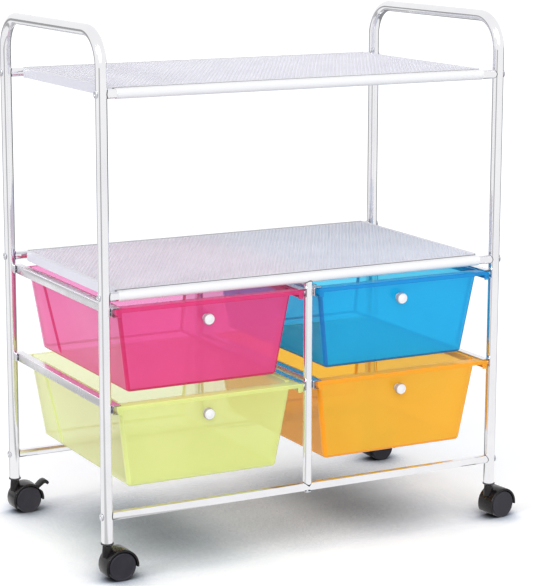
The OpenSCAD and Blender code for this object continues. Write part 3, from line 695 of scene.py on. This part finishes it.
def makeTub():
    s = drawerSettings
    wall, height, length = s["wall"], s["height"], s["length"]
    wallHalf = s["rimHalf"] - s["sideRim"]
    skinHalf = s["rimHalf"] - wall

    def sideAt(depth):
        return wallHalf - s["sideLean"] * depth / height

    def frontAt(depth):
        return s["frontRim"] + s["frontLean"] * depth / height

    def rearAt(depth):
        return length - s["rearRim"] - s["rearLean"] * depth / height

    startFresh()
    bpy.ops.mesh.primitive_plane_add(size=1, location=(0, (length + wall) / 2, -wall))
    tub = bpy.context.object
    tub.scale = (2 * skinHalf, length - wall, 1)
    placeMesh(tub)
    openMesh(tub)
    bpy.ops.mesh.select_all(action="SELECT")
    opening = s["opening"]
    insetAll(opening)  # then it is pushed to its real place
    insetLow, insetHigh = wall + opening, length - opening
    mid = (0, (insetLow + insetHigh) / 2, -wall)
    stretch((sideAt(wall) / (skinHalf - opening), (rearAt(wall) - frontAt(wall)) / (insetHigh - insetLow), 1), mid)
    shift(y=(frontAt(wall) + rearAt(wall)) / 2 - mid[1])
    pull(z=-(height - wall))
    baseMid = (0, (frontAt(wall) + rearAt(wall)) / 2, -height)
    stretch((sideAt(height) / sideAt(wall),
             (rearAt(height) - frontAt(height)) / (rearAt(wall) - frontAt(wall)), 1), baseMid)
    shift(y=(frontAt(height) + rearAt(height)) / 2 - baseMid[1])

    # the side walls' panels are sunk: a slanting fold ends them at the rear, a level one at the base
    foldY = length - s["foldFromRear"]
    foldNormal = Vector((0, height, -s["foldLean"])).normalized()
    frontNormal = Vector((0, height, s["frontLean"])).normalized()
    panelFront = Vector((0, s["frontRim"] + s["frontStrip"] + s["frontStep"], 0))
    foldStart = Vector((0, foldY, 0))
    cutPlane(foldStart, foldNormal)
    cutPlane((0, foldY + s["foldWidth"], 0), foldNormal)
    cutPlane((0, 0, -(height - s["strip"])), (0, 0, 1))
    cutPlane((0, 0, -(height - s["strip"] - s["foldWidth"])), (0, 0, 1))
    cutPlane((0, s["frontRim"] + s["frontStrip"], 0), frontNormal)
    cutPlane(panelFront, frontNormal)
    for side in (-1, 1):
        def setIn(v):
            depth = -v.co.z
            onSide = abs(v.co.x * side - sideAt(depth)) < slack and depth > wall / 2
            beforeFold = (v.co - foldStart).dot(foldNormal) < 2 * close
            behindCorner = (v.co - panelFront).dot(frontNormal) > -2 * close
            return onSide and beforeFold and behindCorner and depth < height - s["strip"] - s["foldWidth"] + 2 * close
        pick("VERT", setIn)
        shift(x=-side * s["foldDepth"])

    # lips and ears
    for side in (-1, 1):
        cutPlane((side * (wallHalf + 0.001), 0, 0), (1, 0, 0))
    onRim = lambda e, depth: abs(middle(e).z + depth) < close and e.is_boundary
    atSide = lambda e: abs(abs(middle(e).x) - skinHalf) < close
    atFront = lambda e: abs(middle(e).y - wall) < close
    inEar = lambda e: atFront(e) and abs(middle(e).x) > wallHalf + 0.0012
    pick("EDGE", lambda e: onRim(e, wall) and (atSide(e) or atFront(e)))
    pull(z=-(s["frontLip"] - wall))
    pick("EDGE", lambda e: onRim(e, s["frontLip"]) and (atSide(e) or inEar(e)))
    pull(z=-(s["sideLip"] - s["frontLip"]))
    pick("EDGE", lambda e: onRim(e, s["sideLip"]) and inEar(e))
    pull(z=-(s["ear"] - s["sideLip"]))

    # upright corners, then the edge round the base
    def uprightCorner(e):
        a, b = e.verts[0].co, e.verts[1].co
        if abs(a.z - b.z) < 0.6 * (a - b).length or min(-a.z, -b.z) < wall / 2:
            return False
        for p in (a, b):
            depth = -p.z
            inSide = min(abs(abs(p.x) - sideAt(depth)), abs(abs(p.x) - sideAt(depth) + s["foldDepth"])) < slack
            inEnd = min(abs(p.y - frontAt(depth)), abs(p.y - rearAt(depth))) < slack
            if not (inSide and inEnd):
                return False
        return True
    print("upright corner edges", pick("EDGE", uprightCorner))
    bpy.ops.mesh.bevel(offset=s["corner"], segments=6, affect="EDGES", clamp_overlap=True)

    def baseEdge(e):
        if len(e.link_faces) != 2 or any(abs(v.co.z + height) > 2 * close for v in e.verts):
            return False
        return sorted(abs(f.normal.z) > 0.9 for f in e.link_faces) == [False, True]
    print("base edges", pick("EDGE", baseEdge))
    bpy.ops.mesh.bevel(offset=s["baseRound"], segments=3, affect="EDGES", clamp_overlap=True)
    closeMesh()
    modify(tub, "SOLIDIFY", thickness=wall, offset=1.0, use_even_offset=True)
    roundEdges(tub, s["softEdge"], 2, 40)
    return tub


knobSettings = {"neck": 0.005, "neckLength": 0.004, "foot": 0.0012, "footRim": 0.0007, "drop": 0.028,
                "head": ((0.0012, 0.0072), (0.0014, 0.0081), (0.0036, 0.0081), (0.0016, 0.0076), (0.0010, 0.0066)),
                "rim": 0.0007, "rimDip": 0.0004, "rimTaper": 0.93, "dish": ((0.0012, 0.0005), (0.002, 0.0004)),
                "edge": 0.0003}


def makeKnob():  # its seat is at the origin and it points along -Y
    k = knobSettings
    knob = openCylinder(48, k["neck"] + k["footRim"], k["foot"], (0, -k["foot"] / 2, 0), "Y")
    pick("FACE", lambda f: f.normal.y < -0.99)
    insetAll(k["footRim"])
    pull(y=-(k["neckLength"] - k["foot"]))
    for forward, radius in k["head"]:
        stepTo(-forward, radius, 1)
    insetAll(k["rim"])
    pull(y=k["rimDip"])
    stretch((k["rimTaper"], 1, k["rimTaper"]), (0, 0, 0))
    for width, forward in k["dish"]:
        insetAll(width)
        shift(y=-forward)
    closeMesh()
    roundEdges(knob, k["edge"], 2, 30)
    return knob


tubModel = makeTub()
knobModel = makeKnob()
knobSlope = drawerSettings["frontLean"] / drawerSettings["height"]
knobSeat = Vector((0, drawerSettings["frontRim"] + knobSlope * knobSettings["drop"], -knobSettings["drop"]))
for place, tint in tints.items():
    drawerLow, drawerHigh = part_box(f"{place}_drawer")
    origin = Vector(((drawerLow.x + drawerHigh.x) / 2, drawerLow.y, drawerHigh.z))
    tub = copyTo(tubModel, origin)
    settle(tub, f"moulded_{place}_drawer", f"{place}_drawer", tint, [f"{place}_drawer"], 40)
    knob = copyTo(knobModel, Vector((0, 0, 0)))
    knob.data.transform(Matrix.Translation(origin + knobSeat) @ Matrix.Rotation(math.atan(knobSlope), 4, "X"))
    settle(knob, f"turned_{place}_knob", f"{place}_drawer", finishes["knobPlastic"],
           [f"{place}_knob"], 30)
discard(tubModel)
discard(knobModel)
print("drawers and knobs placed")


# casters: modelled with the swivel axis at x = 0, y = 0 and the floor at z = 0, trailing along +X

casterSettings = {
    "trail": 0.017, "axleHeight": 0.020, "wheelRadius": 0.020, "wheelWidth": 0.0113, "wheelInner": 0.0032,
    "hoodInner": 0.0213, "hoodOuter": 0.0245, "halfWidth": 0.015, "fromDegrees": -6, "toDegrees": 210, "hoodSteps": 54,
    "slotAt": 40, "slotHalf": 11, "hoodEdge": 0.0011, "turns": {"front_right": 7},
    "webHalf": 0.0025, "webInHood": 0.001, "webBelow": 0.0045, "webSlope": 0.3, "webEdge": 0.0004,
    "neckRadius": 0.0065, "neckTop": 0.050, "neckHeight": 0.016, "neckRim": 0.0009, "neckDip": 0.0006,
    "neckFlare": 1.25, "neckEdge": 0.0007,
}
wheelSettings = {"tread": 0.0018, "edge": 0.0003, "outerRim": (0.0009, 0.0004), "outerDip": 0.0005,
                 "outerDisc": 0.012, "hubRise": 0.0004, "innerRim": (0.0035, 0.0006), "innerDip": 0.002,
                 "innerDisc": (0.0095, 0.0005)}
leverSettings = {"width": 0.013, "edge": 0.0008, "barrel": 0.002, "pin": 0.0008, "pinReach": 0.0025,
                 "pinEdge": 0.0003, "outline": [
    (-2.2, 0.3), (-2.7, 3), (-2.9, 6), (-2.9, 9), (-2.7, 11.6), (-2.1, 13.8), (-1.0, 15.8), (0.8, 17.2),
    (2.8, 18.0), (4.9, 18.2), (7.0, 17.9), (8.3, 16.6), (8.4, 14.4), (7.0, 13.2), (5.2, 13.4), (4.0, 12.9),
    (3.2, 11.6), (2.9, 9.8), (2.7, 7.5), (2.5, 5), (2.3, 2.5), (2.2, 0.3)]}  # millimetres along and out from the pivot
collarSettings = {"radius": 0.009, "depth": 0.002, "height": 0.053, "rim": 0.0045, "dip": 0.0006, "bore": 0.0023,
                  "reach": 0.031, "edge": 0.0006}


def makeHood(braked):
    c = casterSettings
    axle = Vector((c["trail"], 0, c["axleHeight"]))
    first = math.radians(c["fromDegrees"])
    startFresh()
    bpy.ops.mesh.primitive_plane_add(size=1, location=(0, 0, 0))  # one strip of skin, swept over the wheels
    hood = bpy.context.object
    openMesh(hood)
    pick("VERT", lambda v: v.co.x < 0)
    bpy.ops.mesh.delete(type="VERT")
    closeMesh()
    start = axle + Vector((math.cos(first), 0, math.sin(first))) * c["hoodOuter"]
    hood.data.transform(Matrix.Diagonal((0, 2 * c["halfWidth"], 1, 1)))
    hood.data.transform(Matrix.Translation(start))
    openMesh(hood)
    bpy.ops.mesh.select_all(action="SELECT")
    turnEdge(axle, (0, 1, 0), c["toDegrees"] - c["fromDegrees"], c["hoodSteps"])
    if braked:  # slot for the pedal
        def atSlot(f):
            out = f.calc_center_median() - axle
            return abs(math.degrees(math.atan2(out.z, out.x)) - c["slotAt"]) < c["slotHalf"]
        pick("FACE", atSlot)
        bpy.ops.mesh.delete(type="FACE")
    tidyMesh(False)
    closeMesh()
    centres = [(p.center - axle).dot(p.normal) for p in hood.data.polygons]
    inward = sum(1 for d in centres if d < 0) > len(centres) / 2
    modify(hood, "SOLIDIFY", thickness=c["hoodOuter"] - c["hoodInner"], offset=1.0 if inward else -1.0,
           use_even_offset=True)
    openMesh(hood)
    tidyMesh()
    closeMesh()
    roundEdges(hood, c["hoodEdge"], 3, 50)
    webRadius = c["hoodInner"] + c["webInHood"]
    web = openCylinder(72, webRadius, 2 * c["webHalf"], axle, "Y")  # web between the wheels
    bpy.ops.mesh.select_all(action="SELECT")
    bpy.ops.mesh.bisect(plane_co=axle - Vector((0, 0, c["webBelow"])), plane_no=(c["webSlope"], 0, 1),
                        clear_inner=True, use_fill=True)
    closeMesh()
    roundEdges(web, c["webEdge"], 2, 50)
    neckMiddle = (0, 0, c["neckTop"] - c["neckHeight"] / 2)
    neck = openCylinder(48, c["neckRadius"], c["neckHeight"], neckMiddle, "Z")  # neck round the stem
    pick("FACE", lambda f: f.normal.z > 0.9)
    insetAll(c["neckRim"])
    pull(z=-c["neckDip"])
    pick("FACE", lambda f: f.normal.z < -0.9)
    stretch((c["neckFlare"], 1, 1), (0, 0, 0))
    closeMesh()
    roundEdges(neck, c["neckEdge"], 2, 50)
    return joinPieces(hood, web, neck)


def makeWheel():  # one wheel of the pair on the +Y side of the axle's middle
    c, w = casterSettings, wheelSettings
    outer = c["wheelInner"] + c["wheelWidth"]
    wheel = openCylinder(72, c["wheelRadius"], c["wheelWidth"], (0, (outer + c["wheelInner"]) / 2, 0), "Y")
    pick("EDGE", lambda e: min(abs(middle(e).y - outer), abs(middle(e).y - c["wheelInner"])) < close)
    bpy.ops.mesh.bevel(offset=w["tread"], segments=4, affect="EDGES")
    pick("FACE", lambda f: f.normal.y > 0.99)
    insetAll(*w["outerRim"])
    shift(y=-w["outerDip"])
    insetAll(w["outerDisc"])
    shift(y=w["hubRise"])
    pick("FACE", lambda f: f.normal.y < -0.99)
    insetAll(*w["innerRim"])
    shift(y=w["innerDip"])
    insetAll(*w["innerDisc"])
    shift(y=-w["innerDip"])
    closeMesh()
    roundEdges(wheel, w["edge"], 2, 40)
    return wheel


def makeLever():  # curved pedal, drawn in its side view and pulled to its width
    c, k = casterSettings, leverSettings
    angle = math.radians(c["slotAt"])
    hoodMiddle = (c["hoodInner"] + c["hoodOuter"]) / 2
    out, along = Vector((math.cos(angle), 0, math.sin(angle))), Vector((math.sin(angle), 0, -math.cos(angle)))
    pivot = Vector((c["trail"], 0, c["axleHeight"])) + out * hoodMiddle
    startFresh()
    bpy.ops.mesh.primitive_circle_add(vertices=len(k["outline"]), radius=0.004, fill_type="NGON", location=(0, 0, 0))
    lever = bpy.context.object
    for vertex, (a, b) in zip(lever.data.vertices, k["outline"]):
        vertex.co = pivot + along * (a / 1000) + out * (b / 1000) + Vector((0, -k["width"] / 2, 0))
    openMesh(lever)
    bpy.ops.mesh.select_all(action="SELECT")
    pull(y=k["width"])
    tidyMesh()
    closeMesh()
    roundEdges(lever, k["edge"], 3, 40)
    barrel = openCylinder(32, k["barrel"], k["width"], pivot, "Y")
    for side in (-1, 1):
        pick("FACE", lambda f: f.normal.y * side > 0.9)
        insetAll(k["barrel"] - k["pin"])
        pull(y=side * k["pinReach"])
    closeMesh()
    roundEdges(barrel, k["pinEdge"], 1, 40)
    return joinPieces(lever, barrel)


def makeCollar():  # black rim of the socket in a post's end
    k = collarSettings
    collar = openCylinder(48, k["radius"], k["depth"], (0, 0, k["height"]), "Z")
    pick("FACE", lambda f: f.normal.z < -0.9)
    insetAll(k["rim"])
    pull(z=k["dip"])
    pick("FACE", lambda f: f.normal.z > 0.9)
    insetAll(k["bore"])
    pull(z=k["reach"])
    closeMesh()
    roundEdges(collar, k["edge"], 3, 50)
    return collar


hoodModels = {False: makeHood(False), True: makeHood(True)}
wheelModel = makeWheel()
leverModel = makeLever()
collarModel = makeCollar()
collars = []
for corner in ("front_left", "front_right", "rear_left", "rear_right"):
    x = leftPostX if "left" in corner else rightPostX
    y = frontPostY if "front" in corner else rearPostY
    turn = math.radians(casterSettings["turns"].get(corner, 0))
    foot = Vector((x, y, 0))
    braked = corner.startswith("rear")
    hood = copyTo(hoodModels[braked], foot, turn)
    settle(hood, f"moulded_{corner}_hood", f"{corner}_caster", finishes["hoodPlastic"],
           [f"{corner}_hood"])
    axleAt = Vector((casterSettings["trail"], 0, casterSettings["axleHeight"]))
    for letter, flip in (("a", math.pi), ("b", 0.0)):
        wheel = copyTo(wheelModel, Vector((0, 0, 0)))
        wheel.data.transform(Matrix.Translation(foot) @ Matrix.Rotation(turn, 4, "Z")
                             @ Matrix.Translation(axleAt) @ Matrix.Rotation(flip, 4, "Z"))
        settle(wheel, f"moulded_{corner}_wheel_{letter}", f"{corner}_wheel_{letter}", finishes["wheelPlastic"],
               [f"{corner}_wheel_{letter}"])
    if braked:
        lever = copyTo(leverModel, foot, turn)
        settle(lever, f"moulded_{corner}_brake_lever", f"{corner}_brake_lever", finishes["hoodPlastic"],
               [f"{corner}_brake_lever"])
    collars.append(copyTo(collarModel, foot))
collarSet = joinPieces(*collars)
settle(collarSet, "socket_collars", "frame", finishes["plugPlastic"], ["caster_sockets"])
for model in (*hoodModels.values(), wheelModel, leverModel, collarModel):
    discard(model)
print("casters placed")


# frame screws: domed heads with a round recess

screwSettings = {"radius": 0.0055, "rim": 0.0007, "dome": ((0.0004, 0.0049), (0.0003, 0.0038)),
                 "recessRim": 0.0017, "recessDepth": 0.0009, "shankInset": 0.003, "shankLength": 0.028,
                 "edge": 0.0002, "gap": 0.00005}


def makeScrew():  # head's underside at the origin, pointing along -X
    k = screwSettings
    screw = openCylinder(36, k["radius"], k["rim"], (-k["rim"] / 2, 0, 0), "X")
    for step, radius in k["dome"]:
        pick("FACE", lambda f: f.normal.x < -0.99)
        stepTo(-step, radius, 0)
    insetAll(k["recessRim"])
    pull(x=k["recessDepth"])
    pick("FACE", lambda f: f.normal.x > 0.99 and abs(f.calc_center_median().x) < 2 * close)
    insetAll(k["shankInset"])
    pull(x=k["shankLength"])
    closeMesh()
    roundEdges(screw, k["edge"], 2, 30)
    return screw


screwModel = makeScrew()
screws = []
for level in levels:
    for end, y in ends:
        z = tubeLevel(level, end)
        screws.append(copyTo(screwModel, Vector((leftHoopBox[0].x - screwSettings["gap"], y, z))))
        screws.append(copyTo(screwModel, Vector((rightHoopBox[1].x + screwSettings["gap"], y, z)), math.pi))
screwSet = joinPieces(*screws)
settle(screwSet, "domed_frame_screws", "frame", finishes["zinc"], ["frame_screws"])
discard(screwModel)
print("screws placed")


# finishes of the CAD nodes that stay: the others among them are screws, bolts and axles of plated steel

keptFinishes = {"tube_end_plugs": "plugPlastic", "centre_post_plugs": "plugPlastic", "caster_stems": "chrome"}
for name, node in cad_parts.items():
    if not node.hide_render:
        node.data.materials.clear()
        node.data.materials.append(finishes[keptFinishes.get(name, "zinc")])
print("kept CAD nodes finished")


# floor, background and lights

stageSettings = {"floorSize": 60.0, "worldLight": 0.66, "floorLift": 0.22,
                 "shadowReach": 0.18, "shadowTone": 0.0, "shadowPower": 2.4, "shadowEnd": 0.7,
                 "floorTones": [(0.0, (0, 0, 0)), (0.45, (0.37, 0.42, 0.52)), (1.0, (0.875, 0.895, 0.935))],
                 "suns": {"frontSun": ((-0.45, -1.0, 0.75), 0.50, 45.0), "sideSun": ((-1.0, -0.25, 0.55), 0.26, 12.0)}}
# greys that metal reflects from the floor round the cart: position 0.5 is the +X side, 0.75 is behind the cart
reflectedGreys = {
    "near": [(0.0, 1.0), (0.055, 1.0), (0.075, 0.62), (0.115, 0.62), (0.135, 1.0), (0.495, 1.0), (0.515, 0.30),
             (0.675, 0.30), (0.685, 1.0), (0.700, 1.0), (0.715, 0.50), (0.765, 0.50), (0.785, 1.0), (0.845, 1.0),
             (0.856, 0.45), (0.884, 0.45), (0.900, 1.0)],
    "far": [(0.0, 1.0), (0.055, 1.0), (0.075, 0.45), (0.115, 0.45), (0.135, 1.0), (0.490, 1.0), (0.510, 0.20),
            (0.685, 0.20), (0.700, 0.55), (0.765, 0.55), (0.790, 0.42), (0.845, 0.36), (0.870, 1.0)],
    "change": (2.2, 3.0),
}


def makeWorld():
    world = bpy.data.worlds.new("studio")
    scene.world = world
    world.use_nodes = True
    tree = world.node_tree
    background = tree.nodes["Background"]
    background.inputs["Color"].default_value = (1, 1, 1, 1)
    seen = seenByRays(tree, "Is Camera Ray", "Is Glossy Ray", "Is Transmission Ray")
    link(tree, ranged(tree, seen, (0, 1), (stageSettings["worldLight"], 1)), background.inputs["Strength"])


def makeGreys(tree):  # tone of the floor as metal sees it, 1 but for its grey sectors
    place = objectPlace(tree)
    around = addNode(tree, "TexGradient", gradient_type="RADIAL")
    link(tree, place, around.inputs["Vector"])
    near, far = (addRamp(tree, around.outputs["Color"], [(spot, (tone,) * 3) for spot, tone in reflectedGreys[part]])
                 for part in ("near", "far"))
    distance = calculate(tree, "LENGTH", place, kind="VectorMath")
    return mixTwo(tree, ranged(tree, distance, reflectedGreys["change"], (0, 1)), near, far)


def makeFloor():
    s = stageSettings
    startFresh()
    bpy.ops.mesh.primitive_plane_add(size=s["floorSize"], location=(0, 0, 0))
    floor = bpy.context.object
    floor.name = "floor"
    material = bpy.data.materials.new("whiteFloor")
    material.use_nodes = True
    tree = material.node_tree
    shader = tree.nodes["Principled BSDF"]
    setInputs(shader, {"Roughness": 0.9, "Specular IOR Level": 0.0, "Emission Color": (1, 1, 1, 1)})
    nearness = addNode(tree, "AmbientOcclusion", samples=8)  # deepens the shadow close under the cart
    nearness.inputs["Distance"].default_value = s["shadowReach"]
    steep = calculate(tree, "POWER", nearness.outputs["AO"], s["shadowPower"])
    tone = ranged(tree, steep, (0, s["shadowEnd"]), (s["shadowTone"], 1))
    link(tree, addRamp(tree, tone, s["floorTones"]), shader.inputs["Base Color"])
    lift = calculate(tree, "MULTIPLY", seenByRays(tree, "Is Camera Ray", "Is Transmission Ray"), s["floorLift"])
    link(tree, calculate(tree, "MULTIPLY", lift, tone), shader.inputs["Emission Strength"])
    mirrored = addNode(tree, "Emission")  # metal sees a clean floor
    link(tree, makeGreys(tree), mirrored.inputs["Color"])
    both = blendShaders(tree, seenByRays(tree, "Is Glossy Ray"), shader.outputs["BSDF"], mirrored.outputs["Emission"])
    link(tree, both, tree.nodes["Material Output"].inputs["Surface"])
    floor.data.materials.append(material)


def addSun(name, comesFrom, level, softness):  # level is what a white surface that faces it gets
    data = bpy.data.lights.new(name, "SUN")
    data.energy = level * math.pi
    data.angle = math.radians(softness)
    lamp = bpy.data.objects.new(name, data)
    scene.collection.objects.link(lamp)
    lamp.rotation_euler = (-Vector(comesFrom)).to_track_quat("-Z", "Y").to_euler()


makeWorld()
makeFloor()
for sunName, sunValues in stageSettings["suns"].items():
    addSun(sunName, *sunValues)
print("stage lit")


# camera at the photograph's place

cameraSettings = {"place": (-1.39292, -2.6377, 0.9431), "yaw": -26.97, "pitch": 10.89, "roll": -0.08,
                  "focal": 2045.1, "offset": (-44.0, -19.5), "long": 586.0, "sensor": 36.0, "clip": (0.05, 100.0)}


def makeCamera():
    c = cameraSettings
    yaw, pitch, roll = (math.radians(c[key]) for key in ("yaw", "pitch", "roll"))
    back = Vector((math.sin(yaw) * math.cos(pitch), -math.cos(yaw) * math.cos(pitch), math.sin(pitch)))
    right = Vector((0, 0, 1)).cross(back).normalized()
    up = back.cross(right)
    rolledRight = right * math.cos(roll) + up * math.sin(roll)
    rolledUp = up * math.cos(roll) - right * math.sin(roll)
    data = bpy.data.cameras.new("camera")
    data.sensor_fit = "AUTO"
    data.sensor_width = c["sensor"]
    data.lens = c["focal"] * c["sensor"] / c["long"]
    data.shift_x = -c["offset"][0] / c["long"]
    data.shift_y = c["offset"][1] / c["long"]
    data.clip_start, data.clip_end = c["clip"]
    camera = bpy.data.objects.new("camera", data)
    scene.collection.objects.link(camera)
    camera.matrix_world = Matrix.Translation(c["place"]) @ Matrix((rolledRight, rolledUp, back)).transposed().to_4x4()
    scene.camera = camera


makeCamera()
scene.view_settings.view_transform = "Standard"
startFresh()
